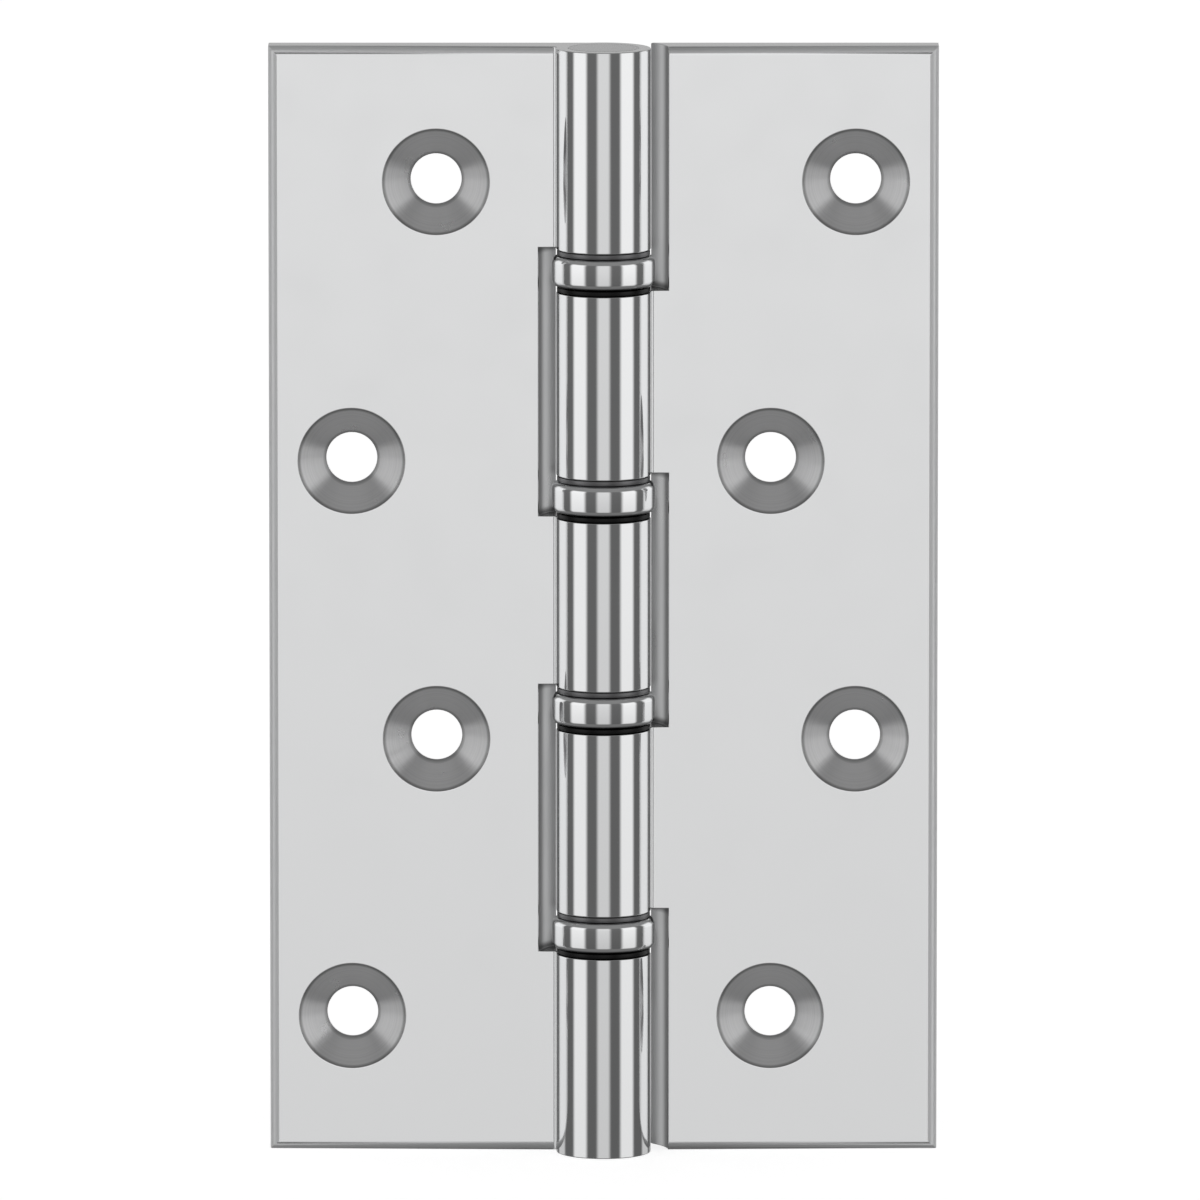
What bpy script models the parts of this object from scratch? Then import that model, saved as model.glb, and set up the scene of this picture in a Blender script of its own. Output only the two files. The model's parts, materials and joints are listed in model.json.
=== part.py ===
"""Washered butt hinge for a door: two leaves, five knuckles on one pin, and a ring stack in each gap.

The hinge lies open flat. The pin's axis is the Z axis, the origin is half way up it, +X points
along the right leaf, and the countersunk faces look along -Y. The left leaf carries knuckles
1, 3 and 5, counted from the top, and the right leaf carries knuckles 2 and 4.

Run it with:  blender --background --python part.py
"""

import math

import bmesh
import bpy

MM = 0.001

# Leaves
LEAF_HEIGHT = 127.0 * MM
LEAF_REACH = 38.1 * MM  # pin axis to the leaf's outer edge
LEAF_THICKNESS = 4.0 * MM
LEAF_EDGE_RADIUS = 1.0 * MM  # rounding of the front face's outer edge

# Knuckles. Each is a fifth of what the ring stacks leave, apart from these two differences.
KNUCKLE_DIAMETER = 10.8 * MM
BACK_INSET = 0.2 * MM  # the leaves' back faces lie this far inside the knuckles' backs
KNUCKLE_FILLET = 0.4 * MM  # hollow rounding where a knuckle leaves its leaf's front face
END_KNUCKLE_EXTRA = 1.52 * MM  # knuckles 1 and 5 are longer by this much
MIDDLE_KNUCKLE_LESS = 2.08 * MM  # knuckle 3 is shorter by this much
RING_STACK = 4.9 * MM  # gap between two knuckles, filled by washer, collar and washer
KNUCKLE_COUNT = 5

# Rings
COLLAR_LIP = 0.5 * MM  # how far a collar stands out past the knuckles
COLLAR_EDGE = 0.75 * MM  # rounding of a collar's outer edges
WASHER_THICKNESS = 0.6 * MM
WASHER_RECESS = 0.1 * MM  # how far a washer lies inside the knuckles' outside
RING_GAP = 0.05 * MM  # axial gap at each face of the stack
FOLD_CLEARANCE = 0.2 * MM  # left between the leaves' backs when the hinge is folded to them

# Pin, and the plugs that close its ends
PIN_DIAMETER = 6.0 * MM
PIN_EDGE = 0.3 * MM
FIXED_GAP = 0.03 * MM  # radial gap where the pin or a plug is held fast
RUNNING_GAP = 0.06 * MM  # radial gap where something turns on the pin
PLUG_SHOULDER = 1.0 * MM  # how far a plug's head reaches past the pin
PLUG_HEAD = 2.0 * MM
PLUG_EDGE = 0.2 * MM
STUD_WALL = 1.0 * MM  # wall of the pin round a plug's stud
STUD_LENGTH = 6.0 * MM
STUD_ROOM = 1.0 * MM  # empty depth below a stud

# Screw holes, staggered in two columns, with 90 degree countersinks
HOLE_DIAMETER = 5.8 * MM
COUNTERSINK_DIAMETER = 12.1 * MM
HOLE_ROWS = 4
HOLE_END_MARGIN = 15.5 * MM  # leaf's end to the first row
HOLE_EDGE_MARGIN = 9.4 * MM  # leaf's outer edge to the outer column
HOLE_WEB = 5.5 * MM  # metal between the inner column's countersinks and the milled hollow

# How finely round shapes are faceted, and how far a cutter runs past what it cuts
ROUND_STEPS = 32
BORE_STEPS = 28
CORNER_STEPS = 3
OVERRUN = 2.0 * MM
AXIS_MERGE = 0.001 * MM

# Places and sizes that follow from the ones above
HALF_HEIGHT = LEAF_HEIGHT / 2
KNUCKLE_RADIUS = KNUCKLE_DIAMETER / 2
BACK_Y = KNUCKLE_RADIUS - BACK_INSET
FRONT_Y = BACK_Y - LEAF_THICKNESS
COLLAR_RADIUS = KNUCKLE_RADIUS + COLLAR_LIP
COLLAR_HEIGHT = RING_STACK - 2 * WASHER_THICKNESS - 4 * RING_GAP
WASHER_RADIUS = KNUCKLE_RADIUS - WASHER_RECESS
SEAT_RADIUS = math.hypot(BACK_Y, BACK_Y + FOLD_CLEARANCE)
PIN_RADIUS = PIN_DIAMETER / 2
RING_BORE_RADIUS = PIN_RADIUS + RUNNING_GAP
PLUG_RADIUS = PIN_RADIUS + PLUG_SHOULDER
COUNTERBORE_DEPTH = PLUG_HEAD + RING_GAP
PIN_END = HALF_HEIGHT - COUNTERBORE_DEPTH
STUD_HOLE_RADIUS = PIN_RADIUS - STUD_WALL
STUD_RADIUS = STUD_HOLE_RADIUS - FIXED_GAP
STUD_HOLE_DEPTH = STUD_LENGTH + STUD_ROOM

# Base colour and roughness of each metal
CHROME = ((0.76, 0.77, 0.78), 0.08)
PIN_STEEL = ((0.33, 0.33, 0.34), 0.35)
WASHER_STEEL = ((0.20, 0.20, 0.21), 0.4)


def knuckle_spans():
    """(top, bottom) of each knuckle, from the top one down."""
    fifth = (LEAF_HEIGHT - (KNUCKLE_COUNT - 1) * RING_STACK) / KNUCKLE_COUNT
    inner_change = MIDDLE_KNUCKLE_LESS / 2 - END_KNUCKLE_EXTRA
    end = fifth + END_KNUCKLE_EXTRA
    inner = fifth + inner_change
    middle = fifth - MIDDLE_KNUCKLE_LESS
    spans = []
    top = HALF_HEIGHT
    for length in (end, inner, middle, inner, end):
        spans.append((top, top - length))
        top -= length + RING_STACK
    return spans


def hole_places(side, outer_first):
    """(x, z) of each screw hole of a leaf, from the top one down."""
    outer = LEAF_REACH - HOLE_EDGE_MARGIN
    inner = SEAT_RADIUS + HOLE_WEB + COUNTERSINK_DIAMETER / 2
    spacing = (LEAF_HEIGHT - 2 * HOLE_END_MARGIN) / (HOLE_ROWS - 1)
    places = []
    for row in range(HOLE_ROWS):
        in_outer_column = (row % 2 == 0) == outer_first
        x = outer if in_outer_column else inner
        places.append((side * x, HALF_HEIGHT - HOLE_END_MARGIN - row * spacing))
    return places


def arc(centre_x, centre_y, radius, start, end, steps):
    """Points along an arc in the XY plane, both ends included, with angles in radians."""
    points = []
    for i in range(steps + 1):
        angle = start + (end - start) * i / steps
        points.append((centre_x + radius * math.cos(angle), centre_y + radius * math.sin(angle)))
    return points


def new_collection(name, hidden=False):
    collection = bpy.data.collections.new(name)
    collection.hide_render = hidden
    bpy.context.scene.collection.children.link(collection)
    return collection


def new_material(name, colour, roughness):
    material = bpy.data.materials.new(name)
    material.use_nodes = True
    shader = material.node_tree.nodes["Principled BSDF"]
    shader.inputs["Base Color"].default_value = (*colour, 1.0)
    shader.inputs["Metallic"].default_value = 1.0
    shader.inputs["Roughness"].default_value = roughness
    return material


def finish(obj, material):
    """Gives a part its material and smooth round faces with crisp corners."""
    obj.data.materials.clear()
    obj.data.materials.append(material)
    obj.data.shade_smooth()
    obj.data.set_sharp_from_angle(angle=math.radians(30))


def turned_mesh(name, profile, closed):
    """A profile of (radius, z) points in the XZ plane, as vertices joined by edges."""
    mesh = bpy.data.meshes.new(name)
    edges = [(i, i + 1) for i in range(len(profile) - 1)]
    if closed:
        edges.append((len(profile) - 1, 0))
    mesh.from_pydata([(radius, 0, z) for radius, z in profile], edges, [])
    return mesh


def turned(name, profile, steps, collection, closed=False):
    """A lathe-turned solid about Z. The profile runs down its outer side."""
    obj = bpy.data.objects.new(name, turned_mesh(name, profile, closed))
    collection.objects.link(obj)
    screw = obj.modifiers.new("turn", "SCREW")
    screw.axis = "Z"
    screw.angle = 2 * math.pi
    screw.steps = steps
    screw.render_steps = steps
    screw.use_merge_vertices = True
    screw.merge_threshold = AXIS_MERGE
    screw.use_smooth_shade = True
    return obj


def drum(radius, top, bottom):
    """Profile of a plain solid cylinder."""
    return [(0, top), (radius, top), (radius, bottom), (0, bottom)]


def as_cutter(obj):
    obj.hide_render = True
    obj.display_type = "WIRE"


def leaf_outline():
    """The right leaf's section: a flat plate that runs into a round barrel, with a fillet."""
    fillet_y = FRONT_Y - KNUCKLE_FILLET
    fillet_x = math.sqrt((KNUCKLE_RADIUS + KNUCKLE_FILLET) ** 2 - fillet_y**2)
    touch = math.atan2(fillet_y, fillet_x)
    back = math.asin(BACK_Y / KNUCKLE_RADIUS)
    corner_x = LEAF_REACH - LEAF_EDGE_RADIUS
    corner_y = FRONT_Y + LEAF_EDGE_RADIUS
    barrel = arc(0, 0, KNUCKLE_RADIUS, back, touch + 2 * math.pi, ROUND_STEPS)
    fillet = arc(fillet_x, fillet_y, KNUCKLE_FILLET, touch + math.pi, math.pi / 2, CORNER_STEPS)
    corner = arc(corner_x, corner_y, LEAF_EDGE_RADIUS, -math.pi / 2, 0, CORNER_STEPS)
    return [*barrel, *fillet[1:], *corner, (LEAF_REACH, BACK_Y)]


def leaf_section(name, side, bore_radius):
    """A leaf's outline and its bore, as a flat curve that is extruded over the whole height."""
    bore = arc(0, 0, bore_radius, 0, 2 * math.pi, BORE_STEPS)[:-1]
    curve = bpy.data.curves.new(name, "CURVE")
    curve.dimensions = "2D"
    curve.fill_mode = "BOTH"
    curve.extrude = HALF_HEIGHT
    for points in (leaf_outline(), bore):
        spline = curve.splines.new("POLY")
        spline.points.add(len(points) - 1)
        for point, (x, y) in zip(spline.points, points):
            point.co = (side * x, y, 0, 1)
        spline.use_cyclic_u = True
    return curve


def mesh_from_curve(name, curve, collection):
    """A closed mesh object made from an extruded flat curve."""
    drawn = bpy.data.objects.new(name + "_section", curve)
    collection.objects.link(drawn)
    graph = bpy.context.evaluated_depsgraph_get()
    mesh = bpy.data.meshes.new_from_object(drawn.evaluated_get(graph))
    mesh.name = name
    shape = bmesh.new()
    shape.from_mesh(mesh)
    bmesh.ops.remove_doubles(shape, verts=shape.verts, dist=AXIS_MERGE)
    bmesh.ops.recalc_face_normals(shape, faces=shape.faces)
    shape.to_mesh(mesh)
    shape.free()
    obj = bpy.data.objects.new(name, mesh)
    obj.matrix_world = drawn.matrix_world
    collection.objects.link(obj)
    bpy.data.objects.remove(drawn)
    return obj


def slot_cutters(name, other_spans, collection):
    """Drums that clear the barrel, and hollow the plate, where the other leaf's knuckles turn."""
    for number, (top, bottom) in enumerate(other_spans, 1):
        top_end = HALF_HEIGHT + OVERRUN if top >= HALF_HEIGHT else top + RING_STACK
        bottom_end = -HALF_HEIGHT - OVERRUN if bottom <= -HALF_HEIGHT else bottom - RING_STACK
        profile = drum(SEAT_RADIUS, top_end, bottom_end)
        as_cutter(turned(f"{name}_slot_{number}", profile, ROUND_STEPS, collection))


def screw_hole_cutters(name, places, collection):
    """One turned cutter for each hole: a cone that opens to the front and a throat behind it."""
    throat = HOLE_DIAMETER / 2
    cone_depth = (COUNTERSINK_DIAMETER - HOLE_DIAMETER) / 2
    profile = [
        (0, OVERRUN),
        (COUNTERSINK_DIAMETER / 2 + OVERRUN, OVERRUN),
        (throat, -cone_depth),
        (throat, -max(cone_depth, LEAF_THICKNESS) - OVERRUN),
        (0, -max(cone_depth, LEAF_THICKNESS) - OVERRUN),
    ]
    for number, (x, z) in enumerate(places, 1):
        cutter = turned(f"{name}_hole_{number}", profile, BORE_STEPS, collection)
        cutter.location = (x, FRONT_Y, z)
        cutter.rotation_euler = (math.pi / 2, 0, 0)
        as_cutter(cutter)


def counterbore_cutters(name, collection):
    """Drums that sink the two plug heads into the ends of the barrel."""
    radius = PLUG_RADIUS + FIXED_GAP
    for end, sign in (("top", 1), ("bottom", -1)):
        inner = sign * (HALF_HEIGHT - COUNTERBORE_DEPTH)
        outer = sign * (HALF_HEIGHT + OVERRUN)
        profile = drum(radius, max(inner, outer), min(inner, outer))
        as_cutter(turned(f"{name}_counterbore_{end}", profile, BORE_STEPS, collection))


def make_leaf(name, side, bore_gap, other_spans, outer_first, plugged, parts, material):
    """Draws the section full height, then mills the slots and drills the holes."""
    curve = leaf_section(name, side, PIN_RADIUS + bore_gap)
    leaf = mesh_from_curve(name, curve, parts)
    cutters = new_collection(name + "_cutters", hidden=True)
    slot_cutters(name, other_spans, cutters)
    screw_hole_cutters(name, hole_places(side, outer_first), cutters)
    if plugged:
        counterbore_cutters(name, cutters)
    boolean = leaf.modifiers.new("milling", "BOOLEAN")
    boolean.operation = "DIFFERENCE"
    boolean.solver = "EXACT"
    boolean.operand_type = "COLLECTION"
    boolean.collection = cutters
    finish(leaf, material)


def make_pin(parts, material):
    """The steel pin, with a blind hole in each end for a plug's stud."""
    hole_end = PIN_END - STUD_HOLE_DEPTH
    upper_half = [
        (0, hole_end),
        (STUD_HOLE_RADIUS, hole_end),
        (STUD_HOLE_RADIUS, PIN_END),
        (PIN_RADIUS - PIN_EDGE, PIN_END),
        (PIN_RADIUS, PIN_END - PIN_EDGE),
    ]
    profile = upper_half + [(radius, -z) for radius, z in reversed(upper_half)]
    pin = turned("hinge_pin", profile, BORE_STEPS, parts)
    finish(pin, material)


def make_plugs(parts, material):
    """Two like plugs: a flat head, flush with the barrel's end, on a stud that enters the pin."""
    head_end = HALF_HEIGHT - PLUG_HEAD
    profile = [
        (0, HALF_HEIGHT),
        (PLUG_RADIUS - PLUG_EDGE, HALF_HEIGHT),
        (PLUG_RADIUS, HALF_HEIGHT - PLUG_EDGE),
        (PLUG_RADIUS, head_end),
        (STUD_RADIUS, head_end),
        (STUD_RADIUS, head_end - STUD_LENGTH),
        (0, head_end - STUD_LENGTH),
    ]
    top = turned("top_plug", profile, BORE_STEPS, parts)
    finish(top, material)
    bottom = top.copy()
    bottom.name = "bottom_plug"
    bottom.rotation_euler = (math.pi, 0, 0)
    parts.objects.link(bottom)


def collar_profile():
    """A thick ring with rounded outer edges, centred on z = 0."""
    half = COLLAR_HEIGHT / 2
    edge_x = COLLAR_RADIUS - COLLAR_EDGE
    edge_z = half - COLLAR_EDGE
    upper = arc(edge_x, edge_z, COLLAR_EDGE, math.pi / 2, 0, CORNER_STEPS)
    lower = [(radius, -z) for radius, z in reversed(upper)]
    return [*upper, *lower, (RING_BORE_RADIUS, -half), (RING_BORE_RADIUS, half)]


def washer_profile():
    """A thin flat ring, centred on z = 0."""
    half = WASHER_THICKNESS / 2
    return [
        (WASHER_RADIUS, half),
        (WASHER_RADIUS, -half),
        (RING_BORE_RADIUS, -half),
        (RING_BORE_RADIUS, half),
    ]


def make_rings(spans, parts, chrome, steel):
    """In each gap between two knuckles: a washer, a collar and a washer."""
    washer_offset = RING_STACK / 2 - RING_GAP - WASHER_THICKNESS / 2
    for number in range(1, KNUCKLE_COUNT):
        middle = spans[number - 1][1] - RING_STACK / 2
        rings = (
            (f"collar_{number}", collar_profile(), middle, chrome),
            (f"washer_{number}_upper", washer_profile(), middle + washer_offset, steel),
            (f"washer_{number}_lower", washer_profile(), middle - washer_offset, steel),
        )
        for name, profile, height, material in rings:
            ring = turned(name, profile, ROUND_STEPS, parts, closed=True)
            ring.location = (0, 0, height)
            finish(ring, material)


def main():
    for obj in list(bpy.data.objects):
        bpy.data.objects.remove(obj)
    parts = new_collection("door_hinge")
    chrome = new_material("polished_chrome", *CHROME)
    pin_steel = new_material("pin_steel", *PIN_STEEL)
    washer_steel = new_material("washer_steel", *WASHER_STEEL)
    spans = knuckle_spans()
    left_spans = spans[0::2]
    right_spans = spans[1::2]
    make_leaf("left_leaf", -1, FIXED_GAP, right_spans, False, True, parts, chrome)
    make_leaf("right_leaf", 1, RUNNING_GAP, left_spans, True, False, parts, chrome)
    make_pin(parts, pin_steel)
    make_plugs(parts, chrome)
    make_rings(spans, parts, chrome, washer_steel)


main()
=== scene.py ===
"""Washered butt hinge: fine surfaces and polished finishes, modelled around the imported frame.

Each piece of the frame is replaced by one of the same size with rounded edges, turned or
milled surfaces and its own metal. Everything is in metres, +Z runs up the pin, and the
countersunk faces look along -Y.
"""

import json
import math

import bmesh
import bpy
from bpy.props import FloatProperty, FloatVectorProperty, PointerProperty
from mathutils import Matrix, Vector


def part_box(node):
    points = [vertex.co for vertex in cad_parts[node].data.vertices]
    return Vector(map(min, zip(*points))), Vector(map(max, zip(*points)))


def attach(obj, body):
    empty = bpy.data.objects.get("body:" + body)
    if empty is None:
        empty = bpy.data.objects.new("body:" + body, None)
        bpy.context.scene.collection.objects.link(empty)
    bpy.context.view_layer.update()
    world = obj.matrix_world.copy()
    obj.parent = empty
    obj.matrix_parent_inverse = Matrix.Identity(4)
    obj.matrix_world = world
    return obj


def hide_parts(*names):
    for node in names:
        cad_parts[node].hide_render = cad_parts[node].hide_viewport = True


bl_info = {
    "name": "Door hinge finisher",
    "version": (1, 0, 0),
    "blender": (4, 5, 0),
    "location": "3D View > Sidebar > Door Hinge",
    "description": "Models the polished leaves, rings, pin and plugs of a washered butt hinge",
    "category": "Object",
}

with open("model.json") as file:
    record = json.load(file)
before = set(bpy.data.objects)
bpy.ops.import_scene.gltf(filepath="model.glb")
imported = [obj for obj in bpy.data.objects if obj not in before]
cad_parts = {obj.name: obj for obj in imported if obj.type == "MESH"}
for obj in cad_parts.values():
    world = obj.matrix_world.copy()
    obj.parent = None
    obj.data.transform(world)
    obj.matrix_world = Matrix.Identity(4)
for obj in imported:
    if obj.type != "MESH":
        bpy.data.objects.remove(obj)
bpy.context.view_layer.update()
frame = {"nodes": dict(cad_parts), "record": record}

MM = 0.001
ROUND = 128  # facets of a full turn on barrels and rings
HOLE_ROUND = 96  # facets of a full turn on a screw hole
CORNER = 5  # facets across a rounded edge
WELD = 1e-6
COLOUR_A, COLOUR_B, COLOUR_RESULT = 6, 7, 2  # a Mix node's colour sockets, by number
OVERRUN = 3.0 * MM  # how far a cutter reaches beyond the metal that it cuts
STUD_ROOM = 1.0 * MM  # empty depth beyond a plug's stud, inside the pin's end
FLOOR_GAP = 0.02 * MM  # keeps the hinge's foot from lying exactly in the floor

LEFT, RIGHT = -1, 1
SIDES = {LEFT: "left_leaf", RIGHT: "right_leaf"}
STACKS = (1, 2, 3, 4)
PLATE_FINISHES = ("plate", "barrel", "edge")  # the finishes on a leaf's blank

RIGHT_LOW, RIGHT_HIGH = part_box("right_leaf")
_, COLLAR_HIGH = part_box("collar_1")
WASHER_LOW, WASHER_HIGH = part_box("washer_1_upper")
_, PIN_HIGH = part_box("hinge_pin")
PLUG_LOW, PLUG_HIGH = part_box("top_plug")

HALF_HEIGHT = RIGHT_HIGH.z
LEAF_REACH = RIGHT_HIGH.x
KNUCKLE_RADIUS = -RIGHT_LOW.x
COLLAR_RADIUS = COLLAR_HIGH.x
WASHER_RADIUS = WASHER_HIGH.x
PIN_RADIUS = PIN_HIGH.x
PLUG_RADIUS = PLUG_HIGH.x
RING_GAP = WASHER_LOW.z - COLLAR_HIGH.z


def points(node):
    """The corners of a frame node's mesh."""
    return [vert.co for vert in frame["nodes"][node].data.vertices]


def bore_radius(node):
    """The distance from the pin's axis to the nearest corner of a bored node."""
    return min(math.hypot(point.x, point.y) for point in points(node))


RING_BORE_RADIUS = bore_radius("collar_1")
FIXED_BORE_RADIUS = bore_radius("left_leaf")
PLATE_CORNERS = [point for point in points("right_leaf") if point.x > LEAF_REACH / 2]
FRONT_Y = min(corner.y for corner in PLATE_CORNERS)
BACK_Y = max(corner.y for corner in PLATE_CORNERS)
NOTCH_X = min(
    point.x
    for point in points("right_leaf")
    if point.z > HALF_HEIGHT - WELD and point.y < FRONT_Y + WELD
)
SEAT_RADIUS = math.hypot(NOTCH_X, FRONT_Y)


def ring_gaps():
    """(top, bottom) of the gap between each pair of knuckles, from the top one down."""
    gaps = []
    for number in STACKS:
        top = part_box(f"washer_{number}_upper")[1].z + RING_GAP
        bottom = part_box(f"washer_{number}_lower")[0].z - RING_GAP
        gaps.append((top, bottom))
    return gaps


def hole_centres(side):
    """(x, z) of each screw hole of a leaf, from the frame's own list of openings."""
    centres = []
    for opening in frame["record"]["physics"]["openings"]:
        if opening["name"].startswith(SIDES[side] + "_screw_hole"):
            low, high = opening["box_m"]
            centres.append(((low[0] + high[0]) / 2, (low[2] + high[2]) / 2))
    return centres


def notches(side):
    """(top, bottom) of each slot of a leaf, where the other leaf's knuckles and the rings turn."""
    gaps = ring_gaps()
    if side == LEFT:
        return [(gaps[0][0], gaps[1][1]), (gaps[2][0], gaps[3][1])]
    beyond = HALF_HEIGHT + OVERRUN
    return [(beyond, gaps[0][1]), (gaps[1][0], gaps[2][1]), (gaps[3][0], -beyond)]


# ---------------------------------------------------------------------------------------
# Settings


class HingeSizes(bpy.types.PropertyGroup):
    edge_rounding: FloatProperty(
        name="Leaf edge rounding",
        description="Radius of the buffed rounding along a leaf's front outer edges",
        default=1.0 * MM,
        unit="LENGTH",
    )
    crisp_edge: FloatProperty(
        name="Crisp edge",
        description="Width of the small rounding left on every cut edge",
        default=0.12 * MM,
        unit="LENGTH",
    )
    knuckle_fillet: FloatProperty(
        name="Knuckle fillet",
        description="Hollow rounding where a knuckle leaves its leaf's front face",
        default=0.4 * MM,
        unit="LENGTH",
    )
    collar_rounding: FloatProperty(
        name="Collar rounding",
        description="Radius of a collar's outer edges",
        default=0.75 * MM,
        unit="LENGTH",
    )
    throat_diameter: FloatProperty(
        name="Throat diameter",
        description="Diameter of a screw hole below its countersink",
        default=5.8 * MM,
        unit="LENGTH",
    )
    countersink_diameter: FloatProperty(
        name="Countersink diameter",
        description="Diameter of a screw hole's countersink at the leaf's front face",
        default=12.1 * MM,
        unit="LENGTH",
    )


class HingeFinish(bpy.types.PropertyGroup):
    chrome: FloatVectorProperty(
        name="Chrome",
        description="Colour of the plated, polished metal",
        subtype="COLOR",
        size=4,
        default=(0.84, 0.845, 0.85, 1.0),
    )
    plate: FloatVectorProperty(
        name="Plate chrome",
        description="Colour of the brighter chrome on the leaves' flat faces",
        subtype="COLOR",
        size=4,
        default=(0.955, 0.96, 0.965, 1.0),
    )
    countersink: FloatVectorProperty(
        name="Countersink",
        description="Colour of the turned countersinks",
        subtype="COLOR",
        size=4,
        default=(0.88, 0.88, 0.885, 1.0),
    )
    relief: FloatVectorProperty(
        name="Milled relief",
        description="Colour of the hollows milled beside the barrel",
        subtype="COLOR",
        size=4,
        default=(0.70, 0.705, 0.71, 1.0),
    )
    # Painted shade: the slots' end faces are given a dark colour to stand for the shade inside the
    # slots.
    shaded_slot_end: FloatVectorProperty(
        name="Slot end",
        # Colour of the sawn ends of the slots and knuckles, darkened as painted shade
        description="Colour of the sawn ends of the slots and knuckles, where oil and dirt stay",
        subtype="COLOR",
        size=4,
        default=(0.26, 0.26, 0.265, 1.0),
    )
    washer: FloatVectorProperty(
        name="Washer steel",
        description="Colour of the thin dark washers",
        subtype="COLOR",
        size=4,
        default=(0.24, 0.24, 0.245, 1.0),
    )
    # Painted shade: a near-black copy of the washer steel for the washers under the collars.
    shaded_washer: FloatVectorProperty(
        name="Shaded washer steel",
        # Colour of the lower washers, darkened as painted shade under the collars
        description="Colour of the lower washers, darkened by the oil that gathers on them",
        subtype="COLOR",
        size=4,
        default=(0.03, 0.03, 0.03, 1.0),
    )
    pin: FloatVectorProperty(
        name="Pin steel",
        description="Colour of the pin",
        subtype="COLOR",
        size=4,
        default=(0.42, 0.42, 0.43, 1.0),
    )


class HingeStage(bpy.types.PropertyGroup):
    floor: FloatVectorProperty(
        name="Floor",
        description="Colour of the floor",
        subtype="COLOR",
        size=4,
        default=(0.93, 0.93, 0.93, 1.0),
    )
    view_distance: FloatProperty(
        name="View distance",
        description="Camera to hinge",
        default=2.2,
        unit="LENGTH",
    )
    view_width: FloatProperty(
        name="View width",
        description="Width that the picture covers at the hinge",
        default=136.7 * MM,
        unit="LENGTH",
    )
    view_height_angle: FloatProperty(
        name="View height angle",
        description="How far the camera looks down on the hinge",
        default=math.radians(8.2),
        unit="ROTATION",
    )


# ---------------------------------------------------------------------------------------
# Materials


class Nodes:
    """Short forms for adding nodes to a material's or the world's tree."""

    def __init__(self, tree):
        self.tree = tree

    def add(self, kind, inputs=None, **settings):
        node = self.tree.nodes.new(kind)
        for key, value in settings.items():
            setattr(node, key, value)
        for key, value in (inputs or {}).items():
            if isinstance(value, bpy.types.NodeSocket):
                self.tree.links.new(value, node.inputs[key])
            else:
                node.inputs[key].default_value = value
        return node

    def blend(self, factor, low, high):
        """A colour between two, each of which is a colour or another node's output."""
        colours = {"Factor": factor, COLOUR_A: low, COLOUR_B: high}
        return self.add("ShaderNodeMix", colours, data_type="RGBA").outputs[COLOUR_RESULT]

    def smooth(self, value, start, end, low=0.0, high=1.0):
        """A number that runs smoothly from low at start to high at end."""
        node = self.add(
            "ShaderNodeMapRange",
            {"Value": value, "From Min": start, "From Max": end, "To Min": low, "To Max": high},
            interpolation_type="SMOOTHSTEP",
        )
        return node.outputs["Result"]

    def product(self, first, second):
        return self.add("ShaderNodeMath", {0: first, 1: second}, operation="MULTIPLY").outputs[0]


class Finish(Nodes):
    """One metal finish, on a piece's own coordinates."""

    def __init__(self, name):
        self.material = bpy.data.materials.new(name)
        self.material.use_nodes = True
        super().__init__(self.material.node_tree)
        self.shader = self.tree.nodes["Principled BSDF"]
        self.shader.inputs["Metallic"].default_value = 1.0
        self.place = self.add("ShaderNodeTexCoord").outputs["Object"]

    def link(self, output, key):
        self.tree.links.new(output, self.shader.inputs[key])

    def grain(self, stretch, scale, detail=3.0):
        """Noise on the object's own coordinates, in cycles per metre, stretched along axes."""
        mapping = self.add("ShaderNodeMapping", {"Vector": self.place, "Scale": stretch})
        noise = self.add(
            "ShaderNodeTexNoise",
            {"Vector": mapping.outputs["Vector"], "Scale": scale, "Detail": detail},
        )
        return noise.outputs["Fac"]

    def between(self, factor, low, high):
        """A number that runs from low to high as the noise runs over its usual range."""
        node = self.add(
            "ShaderNodeMapRange",
            {"Value": factor, "From Min": 0.3, "From Max": 0.7, "To Min": low, "To Max": high},
        )
        return node.outputs["Result"]

    def tint(self, factor, colour, shade, painted_shade=None):
        """The colour, darkened to shade times itself where the noise is low, and by any painted
        shade.
        """
        dark = tuple(channel * shade for channel in colour[:3])
        tinted = self.blend(factor, (*dark, 1.0), tuple(colour))
        if painted_shade is not None:
            scaled = self.add(
                "ShaderNodeVectorMath", {0: tinted, "Scale": painted_shade}, operation="SCALE"
            )
            tinted = scaled.outputs["Vector"]
        self.link(tinted, "Base Color")

    def bump(self, height, distance, strength, below=None):
        settings = {"Height": height, "Distance": distance, "Strength": strength}
        if below is not None:
            settings["Normal"] = below
        return self.add("ShaderNodeBump", settings).outputs["Normal"]


def polished(name, colour, grain_stretch, roughness, painted_foot_shade=False):
    """Buffed chrome: a faint directional grain over slow waves left by the polishing wheel."""
    made = Finish(name)
    fine = made.grain(grain_stretch, 900.0, 4.0)
    slow = made.grain((1.0, 1.0, 0.6), 45.0, 2.0)
    haze = made.grain((1.0, 1.0, 1.0), 130.0, 5.0)
    painted_shade = None
    # Painted shade: the lowest 0.18 mm of the piece goes dark to a tenth of its colour and fades
    # out by 0.42 mm, for the shade under a collar.
    if painted_foot_shade:
        height = made.add("ShaderNodeAttribute", attribute_name="foot_height").outputs["Fac"]
        painted_shade = made.smooth(height, 0.18 * MM, 0.42 * MM, 0.10)
    made.tint(haze, colour, 0.97, painted_shade)
    made.link(made.between(haze, *roughness), "Roughness")
    waves = made.bump(slow, 0.02 * MM, 0.35)
    made.link(made.bump(fine, 0.002 * MM, 0.25, waves), "Normal")
    return made.material


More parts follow.
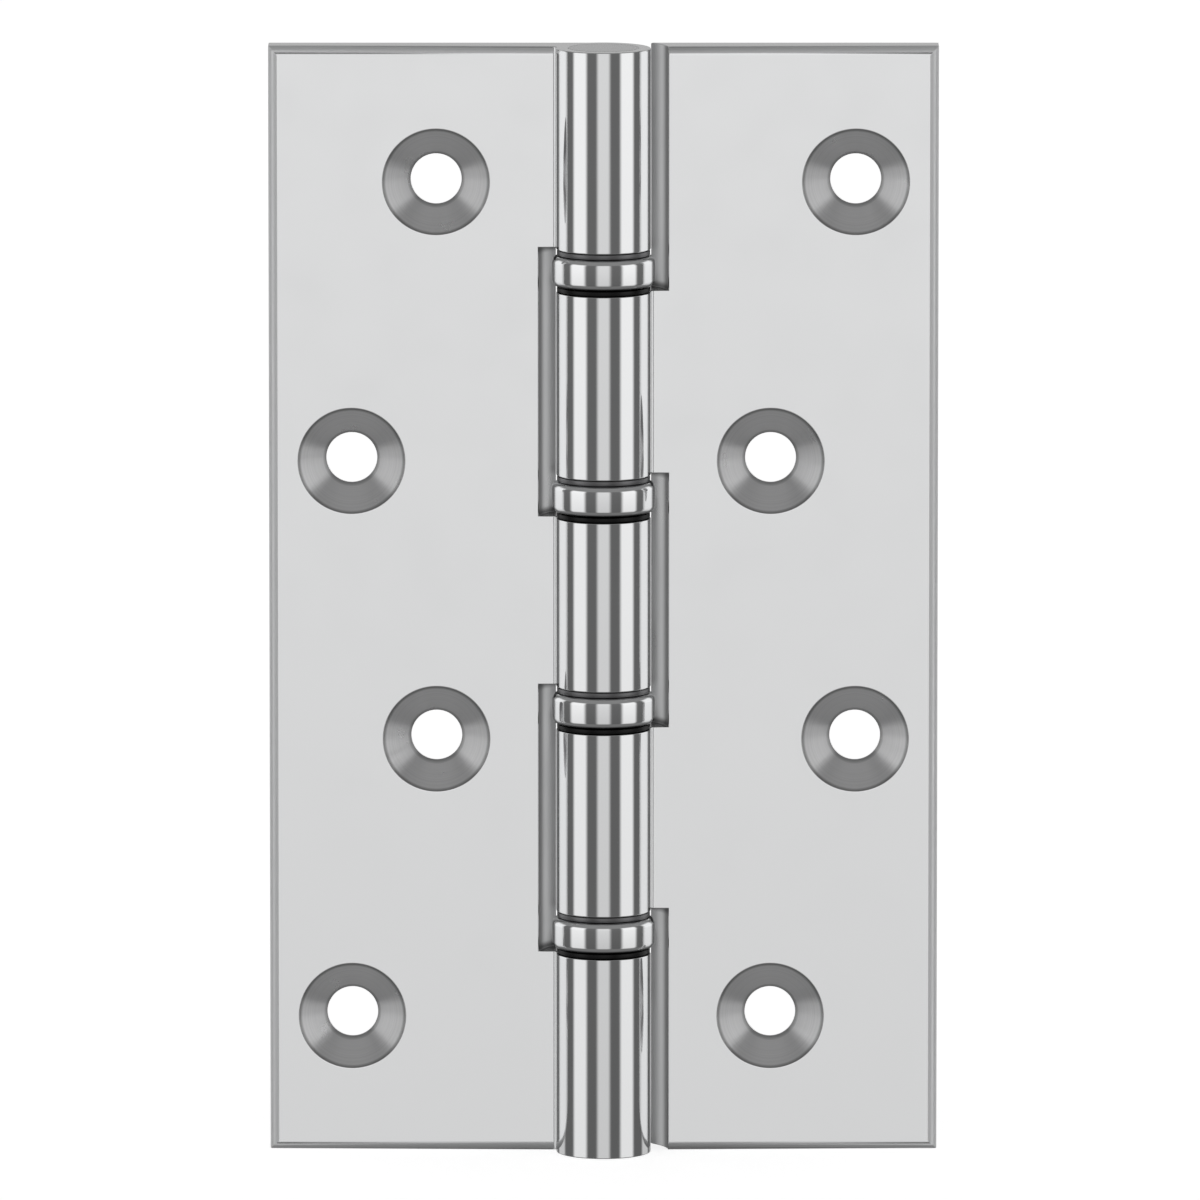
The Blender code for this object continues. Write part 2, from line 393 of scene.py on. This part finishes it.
def turned_countersink(colour, sizes):
    """Cut by a countersink bit: rings round each hole, which spread the light across themselves,
    and painted shade at the throat and the mouth.
    """
    made = Finish("turned_countersink")
    offset = made.add("ShaderNodeAttribute", attribute_name="hole_offset").outputs["Vector"]
    distance = made.add("ShaderNodeVectorMath", {0: offset}, operation="LENGTH").outputs["Value"]
    rings = made.add(
        "ShaderNodeTexNoise",
        {"W": distance, "Scale": 5200.0, "Detail": 3.0, "Roughness": 0.7},
        noise_dimensions="1D",
    ).outputs["Fac"]
    chatter = made.grain((1.0, 1.0, 1.0), 350.0, 3.0)
    throat = sizes.throat_diameter / 2
    mouth = sizes.countersink_diameter / 2
    # Painted shade: a dark ring at the throat and another at the mouth of every countersink.
    throat_shade = made.smooth(distance, throat + 0.05 * MM, throat + 0.45 * MM, 0.55)
    mouth_shade = made.smooth(distance, mouth - 0.05 * MM, mouth - 0.40 * MM, 0.45)
    made.tint(rings, colour, 0.80, made.product(throat_shade, mouth_shade))
    made.link(made.between(chatter, 0.27, 0.34), "Roughness")
    made.link(offset, "Tangent")
    made.shader.inputs["Anisotropic"].default_value = 1.0
    made.link(made.bump(rings, 0.03 * MM, 0.35), "Normal")
    return made.material


def milled_relief(colour, side):
    """Milled along the pin: long fine tool lines, and painted shade by the front and the slots'
    ends.
    """
    made = Finish(SIDES[side] + "_milled_relief")
    lines = made.grain((1.0, 1.0, 0.03), 3500.0, 4.0)
    patches = made.grain((1.0, 1.0, 0.5), 160.0, 3.0)
    place = made.add("ShaderNodeSeparateXYZ", {"Vector": made.place}).outputs
    # Painted shade: darker along the hollow's front edge and near each end of every slot.
    painted_shade = made.smooth(place["Y"], FRONT_Y + 0.8 * MM, FRONT_Y + 2.4 * MM, 0.46)
    for end in (level for slot in notches(side) for level in slot if abs(level) < HALF_HEIGHT):
        offset = made.add("ShaderNodeMath", {0: place["Z"], 1: end}, operation="SUBTRACT")
        away = made.add("ShaderNodeMath", {0: offset.outputs[0]}, operation="ABSOLUTE")
        painted_shade = made.product(painted_shade, made.smooth(away.outputs[0], 0.25 * MM, 0.95 * MM, 0.32))
    made.tint(patches, colour, 0.85, painted_shade)
    made.link(made.between(patches, 0.26, 0.38), "Roughness")
    made.link(made.bump(lines, 0.01 * MM, 0.4), "Normal")
    return made.material


def faced_end(name, colour):
    """Faced on a lathe: rings round the pin's axis."""
    made = Finish(name)
    mapping = made.add("ShaderNodeMapping", {"Vector": made.place, "Scale": (1.0, 1.0, 0.0)})
    distance = made.add(
        "ShaderNodeVectorMath", {0: mapping.outputs["Vector"]}, operation="LENGTH"
    ).outputs["Value"]
    rings = made.add(
        "ShaderNodeTexNoise",
        {"W": distance, "Scale": 4000.0, "Detail": 3.0},
        noise_dimensions="1D",
    ).outputs["Fac"]
    made.tint(rings, colour, 0.9)
    made.link(made.between(rings, 0.2, 0.3), "Roughness")
    made.link(made.bump(rings, 0.01 * MM, 0.3), "Normal")
    return made.material


def dull_steel(name, colour, grain_stretch, roughness):
    """Bare oiled steel with a mottled surface."""
    made = Finish(name)
    mottle = made.grain((1.0, 1.0, 1.0), 420.0, 5.0)
    drawn = made.grain(grain_stretch, 1800.0, 3.0)
    made.tint(mottle, colour, 0.7)
    made.link(made.between(mottle, *roughness), "Roughness")
    made.link(made.bump(drawn, 0.008 * MM, 0.4), "Normal")
    return made.material


# ---------------------------------------------------------------------------------------
# Shapes


def as_object(name, shape, materials):
    """Closes a bmesh into a smooth-shaded object with its faces pointing out."""
    bmesh.ops.remove_doubles(shape, verts=shape.verts, dist=WELD)
    bmesh.ops.recalc_face_normals(shape, faces=shape.faces)
    mesh = bpy.data.meshes.new(name)
    shape.to_mesh(mesh)
    shape.free()
    for material in materials:
        mesh.materials.append(material)
    mesh.shade_smooth()
    obj = bpy.data.objects.new(name, mesh)
    bpy.context.scene.collection.objects.link(obj)
    return obj


def spun(profile, steps, closed=False):
    """A profile of (radius, z) points, spun once round Z. An open one is closed by its poles."""
    shape = bmesh.new()
    verts = [shape.verts.new((radius, 0, z)) for radius, z in profile]
    edges = [shape.edges.new(pair) for pair in zip(verts, verts[1:])]
    if closed:
        edges.append(shape.edges.new((verts[-1], verts[0])))
    bmesh.ops.spin(
        shape,
        geom=verts + edges,
        cent=(0, 0, 0),
        axis=(0, 0, 1),
        angle=2 * math.pi,
        steps=steps,
        use_merge=True,
    )
    bmesh.ops.remove_doubles(shape, verts=shape.verts, dist=WELD)
    bmesh.ops.recalc_face_normals(shape, faces=shape.faces)
    return shape


def drum(radius, top, bottom, steps=ROUND):
    return spun([(0, top), (radius, top), (radius, bottom), (0, bottom)], steps)


def ring(radius, top, bottom):
    """A loose ring with a square section, bored to turn on the pin."""
    inner = RING_BORE_RADIUS
    profile = [(radius, top), (radius, bottom), (inner, bottom), (inner, top)]
    return spun(profile, ROUND, closed=True)


def round_edges(shape, edges, width, segments):
    bmesh.ops.bevel(
        shape,
        geom=edges,
        offset=width,
        affect="EDGES",
        segments=segments,
        profile=0.5,
        material=-1,
    )


def rim(shape, radius):
    """The ring edges that lie at one distance from the Z axis."""
    found = []
    for edge in shape.edges:
        low, high = (vert.co for vert in edge.verts)
        level = abs(low.z - high.z) < WELD
        if level and all(abs(math.hypot(co.x, co.y) - radius) < WELD for co in (low, high)):
            found.append(edge)
    return found


def sharp_edges(shape, angle=math.radians(40)):
    shared = [edge for edge in shape.edges if len(edge.link_faces) == 2]
    return [edge for edge in shared if edge.calc_face_angle() > angle]


def even_shading(obj):
    """Keeps large faces flat and lets only the small roundings bend the light."""
    modifier = obj.modifiers.new("even_shading", "WEIGHTED_NORMAL")
    modifier.weight = 90
    modifier.keep_sharp = False


def install(obj, node, body):
    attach(obj, body)
    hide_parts(node)


def fillet_centre(sizes):
    """Where the hollow rounding between barrel and front face has its centre, on the right leaf."""
    y = FRONT_Y - sizes.knuckle_fillet
    return math.sqrt((KNUCKLE_RADIUS + sizes.knuckle_fillet) ** 2 - y**2), y


def leaf_blank(sizes):
    """The right leaf before milling: barrel, fillet and plate in one outline, drawn up along Z."""
    shape = bmesh.new()
    fillet_x, fillet_y = fillet_centre(sizes)
    touch = math.atan2(fillet_y, fillet_x)
    back = math.asin(BACK_Y / KNUCKLE_RADIUS)
    bottom = -HALF_HEIGHT
    start = shape.verts.new((KNUCKLE_RADIUS * math.cos(back), BACK_Y, bottom))
    swept = 2 * math.pi - (back - touch)
    barrel = bmesh.ops.spin(
        shape, geom=[start], cent=(0, 0, bottom), axis=(0, 0, 1), angle=swept, steps=ROUND
    )
    barrel_end = barrel["geom_last"][0]
    hollow = bmesh.ops.spin(
        shape,
        geom=[barrel_end],
        cent=(fillet_x, fillet_y, bottom),
        axis=(0, 0, -1),
        angle=math.pi / 2 + touch,
        steps=CORNER,
    )
    front = hollow["geom_last"][0]
    front_corner = shape.verts.new((LEAF_REACH, FRONT_Y, bottom))
    back_corner = shape.verts.new((LEAF_REACH, BACK_Y, bottom))
    for pair in ((front, front_corner), (front_corner, back_corner), (back_corner, start)):
        shape.edges.new(pair)
    bmesh.ops.contextual_create(shape, geom=shape.edges[:])
    raised = bmesh.ops.extrude_face_region(shape, geom=shape.faces[:])
    upper = [item for item in raised["geom"] if isinstance(item, bmesh.types.BMVert)]
    bmesh.ops.translate(shape, verts=upper, vec=(0, 0, 2 * HALF_HEIGHT))
    bmesh.ops.recalc_face_normals(shape, faces=shape.faces)
    outer = [edge for edge in shape.edges if is_front_outer(edge, fillet_x)]
    round_edges(shape, outer, sizes.edge_rounding, CORNER)
    return shape


def is_front_outer(edge, inner_x):
    """True for the plate's front edges along its top, its bottom and its outer side."""
    if any(abs(vert.co.y - FRONT_Y) > WELD for vert in edge.verts):
        return False
    xs = sorted(vert.co.x for vert in edge.verts)
    return xs[1] > LEAF_REACH - WELD and xs[0] > inner_x - WELD


def cut(obj, cutters):
    """Takes the cutters away from a solid, and keeps their materials on the cut faces."""
    group = bpy.data.collections.new("cutters")
    bpy.context.scene.collection.children.link(group)
    for cutter in cutters:
        bpy.context.scene.collection.objects.unlink(cutter)
        group.objects.link(cutter)
    modifier = obj.modifiers.new("cut", "BOOLEAN")
    modifier.operation = "DIFFERENCE"
    modifier.solver = "EXACT"
    modifier.material_mode = "TRANSFER"
    modifier.operand_type = "COLLECTION"
    modifier.collection = group
    graph = bpy.context.evaluated_depsgraph_get()
    mesh = bpy.data.meshes.new_from_object(obj.evaluated_get(graph))
    obj.modifiers.clear()
    blank = obj.data
    obj.data = mesh
    bpy.data.meshes.remove(blank)
    for cutter in cutters:
        bpy.data.meshes.remove(cutter.data)
    bpy.data.collections.remove(group)


def keep_inside(shape, sizes):
    """Pulls the tips of the small roundings' corners back to the leaf's own faces."""
    plate_x, _ = fillet_centre(sizes)
    for vert in shape.verts:
        vert.co.z = max(-HALF_HEIGHT, min(HALF_HEIGHT, vert.co.z))
        if abs(vert.co.x) > plate_x:
            vert.co.y = max(vert.co.y, FRONT_Y)


def mark_holes(mesh, centres):
    """Stores each point's offset from the nearest hole's axis, for the turning marks."""
    attribute = mesh.attributes.new("hole_offset", "FLOAT_VECTOR", "POINT")
    for vert in mesh.vertices:
        offsets = [Vector((vert.co.x - x, 0, vert.co.z - z)) for x, z in centres]
        attribute.data[vert.index].vector = min(offsets, key=lambda offset: offset.length)


def hole_cutter(sizes, x, z, material):
    throat = sizes.throat_diameter / 2
    mouth = sizes.countersink_diameter / 2
    depth = mouth - throat
    profile = [
        (0, OVERRUN),
        (mouth + OVERRUN, OVERRUN),
        (throat, -depth),
        (throat, -(BACK_Y - FRONT_Y) - OVERRUN),
        (0, -(BACK_Y - FRONT_Y) - OVERRUN),
    ]
    shape = spun(profile, HOLE_ROUND)
    turn = Matrix.Translation((x, FRONT_Y, z)) @ Matrix.Rotation(math.pi / 2, 4, "X")
    bmesh.ops.transform(shape, matrix=turn, verts=shape.verts)
    return as_object("hole_cutter", shape, [material])


def slot_cutter(top, bottom, relief, end):
    shape = drum(SEAT_RADIUS, top, bottom)
    for face in shape.faces:
        face.material_index = 1 if abs(face.normal.z) > 0.5 else 0
    return as_object("slot_cutter", shape, [relief, end])


def blank_finish(face, sizes):
    """The name of the finish on one face of a leaf's blank."""
    centre = face.calc_center_median()
    on_barrel = math.hypot(centre.x, centre.y) < KNUCKLE_RADIUS + sizes.knuckle_fillet
    if on_barrel and abs(face.normal.z) < 0.5:
        return "barrel"
    slanted = 0.1 < abs(face.normal.y) < 0.99
    return "edge" if slanted else "plate"


def make_leaf(side, sizes, finishes):
    name = SIDES[side]
    shape = leaf_blank(sizes)
    for face in shape.faces:
        face.material_index = PLATE_FINISHES.index(blank_finish(face, sizes))
    bmesh.ops.scale(shape, vec=(side, 1, 1), verts=shape.verts)
    leaf = as_object(name + "_polished", shape, [finishes[key] for key in PLATE_FINISHES])
    bore = FIXED_BORE_RADIUS if side == LEFT else RING_BORE_RADIUS
    beyond = HALF_HEIGHT + OVERRUN
    drill = drum(bore, beyond, -beyond, HOLE_ROUND)
    cutters = [as_object("bore_cutter", drill, [finishes["bore"]])]
    for top, bottom in notches(side):
        cutters.append(slot_cutter(top, bottom, finishes["relief"], finishes["shaded_slot_end"]))
    for x, z in hole_centres(side):
        cutters.append(hole_cutter(sizes, x, z, finishes["countersink"]))
    if side == LEFT:
        radius = PLUG_RADIUS + FIXED_BORE_RADIUS - PIN_RADIUS
        for sign in (1, -1):
            ends = sorted((sign * PIN_HIGH.z, sign * beyond), reverse=True)
            drill = drum(radius, *ends, HOLE_ROUND)
            cutters.append(as_object("counterbore", drill, [finishes["bore"]]))
    cut(leaf, cutters)
    shape = bmesh.new()
    shape.from_mesh(leaf.data)
    bmesh.ops.remove_doubles(shape, verts=shape.verts, dist=2 * WELD)
    bmesh.ops.dissolve_limit(
        shape,
        angle_limit=math.radians(0.05),
        verts=shape.verts,
        edges=shape.edges,
        delimit={"MATERIAL"},
    )
    round_edges(shape, sharp_edges(shape), sizes.crisp_edge, 2)
    keep_inside(shape, sizes)
    shape.to_mesh(leaf.data)
    shape.free()
    leaf.data.shade_smooth()
    mark_holes(leaf.data, hole_centres(side))
    even_shading(leaf)
    body = "left_leaf_and_pin" if side == LEFT else "right_leaf"
    install(leaf, name, body)


class HINGE_OT_leaves(bpy.types.Operator):
    """Model both leaves with their knuckles, milled hollows and countersunk holes"""

    bl_idname = "hinge.leaves"
    bl_label = "Leaves"

    def execute(self, context):
        sizes = context.scene.hinge_sizes
        finish = context.scene.hinge_finish
        finishes = {
            "plate": polished("polished_plate", finish.plate, (1.0, 1.0, 0.15), (0.13, 0.19)),
            "barrel": polished("polished_barrel", finish.chrome, (0.3, 0.3, 1.0), (0.05, 0.09)),
            "edge": polished("buffed_edge", finish.plate, (1.0, 1.0, 1.0), (0.48, 0.56)),
            "countersink": turned_countersink(finish.countersink, sizes),
            "bore": faced_end("reamed_bore", finish.chrome),
            # The slots' end faces carry the painted shade colour.
            "shaded_slot_end": faced_end("sawn_slot_end", finish.shaded_slot_end),
        }
        for side in SIDES:
            finishes["relief"] = milled_relief(finish.relief, side)
            make_leaf(side, sizes, finishes)
        return {"FINISHED"}


class HINGE_OT_collars(bpy.types.Operator):
    """Turn the thick collar that fills each gap between knuckles"""

    bl_idname = "hinge.collars"
    bl_label = "Collars"

    def execute(self, context):
        sizes = context.scene.hinge_sizes
        # The collars' chrome, with painted shade along each collar's lower rounding.
        chrome = polished(
            "polished_collar",
            context.scene.hinge_finish.chrome,
            (0.3, 0.3, 1.0),
            (0.05, 0.10),
            painted_foot_shade=True,
        )
        for number in STACKS:
            node = f"collar_{number}"
            low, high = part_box(node)
            shape = ring(COLLAR_RADIUS, high.z, low.z)
            round_edges(shape, rim(shape, COLLAR_RADIUS), sizes.collar_rounding, CORNER)
            round_edges(shape, rim(shape, RING_BORE_RADIUS), sizes.crisp_edge, 2)
            collar = as_object(f"turned_{node}", shape, [chrome])
            # Height above the collar's foot, which sets where the painted shade falls.
            heights = collar.data.attributes.new("foot_height", "FLOAT", "POINT")
            for vert in collar.data.vertices:
                heights.data[vert.index].value = vert.co.z - low.z
            even_shading(collar)
            install(collar, node, node)
        return {"FINISHED"}


class HINGE_OT_washers(bpy.types.Operator):
    """Turn the thin steel washers above and below each collar"""

    bl_idname = "hinge.washers"
    bl_label = "Washers"

    def execute(self, context):
        sizes = context.scene.hinge_sizes
        finish = context.scene.hinge_finish
        stretch = (1.0, 1.0, 4.0)
        steels = {
            "upper": dull_steel("washer_steel", finish.washer, stretch, (0.3, 0.5)),
            # Painted shade: the lower washers get the near-black copy of the same steel.
            "lower": dull_steel("shaded_washer_steel", finish.shaded_washer, stretch, (0.3, 0.5)),
        }
        for number in STACKS:
            for place, steel in steels.items():
                node = f"washer_{number}_{place}"
                low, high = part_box(node)
                shape = ring(WASHER_RADIUS, high.z, low.z)
                round_edges(shape, sharp_edges(shape), sizes.crisp_edge, 2)
                washer = as_object(f"steel_{node}", shape, [steel])
                even_shading(washer)
                install(washer, node, node)
        return {"FINISHED"}


class HINGE_OT_pin_and_plugs(bpy.types.Operator):
    """Turn the pin and the two flush plugs that close the barrel"""

    bl_idname = "hinge.pin_and_plugs"
    bl_label = "Pin and plugs"

    def execute(self, context):
        sizes = context.scene.hinge_sizes
        finish = context.scene.hinge_finish
        steel = dull_steel("drawn_pin_steel", finish.pin, (1.0, 1.0, 0.1), (0.25, 0.4))
        low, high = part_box("hinge_pin")
        stud_radius, stud_depth = stud_sizes()
        socket_radius = stud_radius + FIXED_BORE_RADIUS - PIN_RADIUS
        socket_depth = stud_depth + STUD_ROOM
        profile = [
            (0, high.z - socket_depth),
            (socket_radius, high.z - socket_depth),
            (socket_radius, high.z),
            (PIN_RADIUS, high.z),
            (PIN_RADIUS, low.z),
            (socket_radius, low.z),
            (socket_radius, low.z + socket_depth),
            (0, low.z + socket_depth),
        ]
        shape = spun(profile, HOLE_ROUND)
        round_edges(shape, rim(shape, PIN_RADIUS), 2 * sizes.crisp_edge, 2)
        pin = as_object("drawn_pin", shape, [steel])
        even_shading(pin)
        install(pin, "hinge_pin", "left_leaf_and_pin")
        chrome = faced_end("faced_end", finish.chrome)
        for sign, node in ((1, "top_plug"), (-1, "bottom_plug")):
            head = PLUG_LOW.z + stud_depth
            profile = [
                (0, PLUG_HIGH.z),
                (PLUG_RADIUS, PLUG_HIGH.z),
                (PLUG_RADIUS, head),
                (stud_radius, head),
                (stud_radius, PLUG_LOW.z),
                (0, PLUG_LOW.z),
            ]
            shape = spun(profile, HOLE_ROUND)
            round_edges(shape, rim(shape, PLUG_RADIUS), sizes.crisp_edge, 2)
            bmesh.ops.scale(shape, vec=(1, 1, sign), verts=shape.verts)
            plug = as_object(f"faced_{node}", shape, [chrome])
            even_shading(plug)
            install(plug, node, "left_leaf_and_pin")
        return {"FINISHED"}


def stud_sizes():
    """(radius, length) of the stud under a plug's head, read from the frame."""
    plug = points("top_plug")
    radii = [math.hypot(point.x, point.y) for point in plug if point.z < PLUG_LOW.z + WELD]
    head = min(point.z for point in plug if math.hypot(point.x, point.y) > PLUG_RADIUS - WELD)
    return max(radii), head - PLUG_LOW.z


# ---------------------------------------------------------------------------------------
# Stage


# Panels of light round the hinge, the same on its left and its right. Each has the angle in
# degrees from the front to its middle, half the angle that it spans, and its light.
FRONT_CARD = (0, 15, 0.80)
SOFT_BOX = (60, 18, 1.05)
SIDE_WALL = (125, 15, 0.75)
BACK_WALL = (180, 30, 0.45)
PANEL_FADE = 10  # degrees over which a panel's edge fades
HALL = 0.15  # the dark between the panels
OVERHEAD = 0.25  # light from above the panels
UNDERNEATH = 0.24  # light from below them
OVERHEAD_FADE = (0.36, 0.56)  # upward slopes of view over which the panels give way
UNDERNEATH_FADE = (-0.32, -0.52)  # downward ones
VIEW_TARGET = (-0.4 * MM, 0, 0.2 * MM)  # where the camera aims


def grey(value):
    return (value, value, value, 1.0)


class HINGE_OT_stage(bpy.types.Operator):
    """Set up the floor, the soft studio surroundings and the camera"""

    bl_idname = "hinge.stage"
    bl_label = "Stage"

    def execute(self, context):
        stage = context.scene.hinge_stage
        make_floor(stage)
        make_world(context.scene)
        context.scene.view_settings.view_transform = "Standard"
        make_camera(context.scene, stage)
        return {"FINISHED"}


def make_floor(stage):
    shape = bmesh.new()
    bmesh.ops.create_grid(shape, x_segments=1, y_segments=1, size=40.0)
    bmesh.ops.translate(shape, verts=shape.verts, vec=(0, 0, -HALF_HEIGHT - FLOOR_GAP))
    made = Finish("pale_floor")
    made.shader.inputs["Metallic"].default_value = 0.0
    made.shader.inputs["Roughness"].default_value = 0.9
    made.shader.inputs["Specular IOR Level"].default_value = 0.0
    made.shader.inputs["Emission Color"].default_value = (1.0, 1.0, 1.0, 1.0)
    made.shader.inputs["Emission Strength"].default_value = 0.73
    made.tint(made.grain((1.0, 1.0, 1.0), 2.0), stage.floor, 0.99)
    floor = as_object("floor", shape, [made.material])
    floor.visible_glossy = False


def make_world(scene):
    """Panels of light in a dark hall round the hinge, and plain white behind it."""
    world = bpy.data.worlds.new("studio")
    world.use_nodes = True
    world.node_tree.nodes.clear()
    made = Nodes(world.node_tree)
    direction = made.add("ShaderNodeTexCoord").outputs["Generated"]
    axes = made.add("ShaderNodeSeparateXYZ", {"Vector": direction}).outputs
    forward = made.product(axes["Y"], -1.0)
    turn = made.add("ShaderNodeMath", {0: axes["X"], 1: forward}, operation="ARCTAN2")
    either_side = made.add("ShaderNodeMath", {0: turn.outputs[0]}, operation="ABSOLUTE").outputs[0]
    walls = grey(HALL)
    for middle, half, light in (FRONT_CARD, SOFT_BOX, SIDE_WALL, BACK_WALL):
        offset = made.add(
            "ShaderNodeMath", {0: either_side, 1: math.radians(middle)}, operation="SUBTRACT"
        )
        away = made.add("ShaderNodeMath", {0: offset.outputs[0]}, operation="ABSOLUTE")
        inner = math.radians(half - PANEL_FADE / 2)
        outer = math.radians(half + PANEL_FADE / 2)
        walls = made.blend(made.smooth(away.outputs[0], inner, outer, 1.0, 0.0), walls, grey(light))
    above = made.smooth(axes["Z"], *OVERHEAD_FADE)
    below = made.smooth(axes["Z"], *UNDERNEATH_FADE)
    walls = made.blend(above, walls, grey(OVERHEAD))
    surroundings = made.blend(below, walls, grey(UNDERNEATH))
    strength = made.add(
        "ShaderNodeMapRange",
        {"Value": axes["Z"], "From Min": -0.20, "From Max": -0.10, "To Min": 0.78, "To Max": 1.02},
    )
    studio = made.add(
        "ShaderNodeBackground", {"Color": surroundings, "Strength": strength.outputs["Result"]}
    )
    plain = made.add("ShaderNodeBackground", {"Color": grey(1.0)})
    seen = made.add("ShaderNodeLightPath").outputs["Is Camera Ray"]
    mixed = made.add("ShaderNodeMixShader", {0: seen, 1: studio.outputs[0], 2: plain.outputs[0]})
    made.add("ShaderNodeOutputWorld", {"Surface": mixed.outputs[0]})
    scene.world = world


def make_camera(scene, stage):
    data = bpy.data.cameras.new("camera")
    data.sensor_width = 36.0
    data.lens = data.sensor_width * stage.view_distance / stage.view_width
    camera = bpy.data.objects.new("camera", data)
    angle = stage.view_height_angle
    away = Vector((0, -math.cos(angle), math.sin(angle)))
    camera.location = Vector(VIEW_TARGET) + away * stage.view_distance
    camera.rotation_euler = (math.pi / 2 - angle, 0, 0)
    scene.collection.objects.link(camera)
    scene.camera = camera


# ---------------------------------------------------------------------------------------
# Panel and registration


class HINGE_PT_panel(bpy.types.Panel):
    """Lists the hinge's settings and the steps that make it"""

    bl_idname = "HINGE_PT_panel"
    bl_label = "Door Hinge"
    bl_space_type = "VIEW_3D"
    bl_region_type = "UI"
    bl_category = "Door Hinge"

    def draw(self, context):
        layout = self.layout
        for group in ("hinge_sizes", "hinge_finish", "hinge_stage"):
            settings = getattr(context.scene, group)
            box = layout.box()
            for name in settings.__annotations__:
                box.prop(settings, name)
        for operator in STEPS:
            layout.operator(operator.bl_idname)


STEPS = (
    HINGE_OT_stage,
    HINGE_OT_leaves,
    HINGE_OT_collars,
    HINGE_OT_washers,
    HINGE_OT_pin_and_plugs,
)
CLASSES = (HingeSizes, HingeFinish, HingeStage, *STEPS, HINGE_PT_panel)


def register():
    for item in CLASSES:
        bpy.utils.register_class(item)
    bpy.types.Scene.hinge_sizes = PointerProperty(type=HingeSizes)
    bpy.types.Scene.hinge_finish = PointerProperty(type=HingeFinish)
    bpy.types.Scene.hinge_stage = PointerProperty(type=HingeStage)


def unregister():
    del bpy.types.Scene.hinge_stage
    del bpy.types.Scene.hinge_finish
    del bpy.types.Scene.hinge_sizes
    for item in reversed(CLASSES):
        bpy.utils.unregister_class(item)


def main():
    register()
    bpy.ops.hinge.stage()
    bpy.ops.hinge.leaves()
    bpy.ops.hinge.collars()
    bpy.ops.hinge.washers()
    bpy.ops.hinge.pin_and_plugs()


if __name__ == "__main__":
    main()
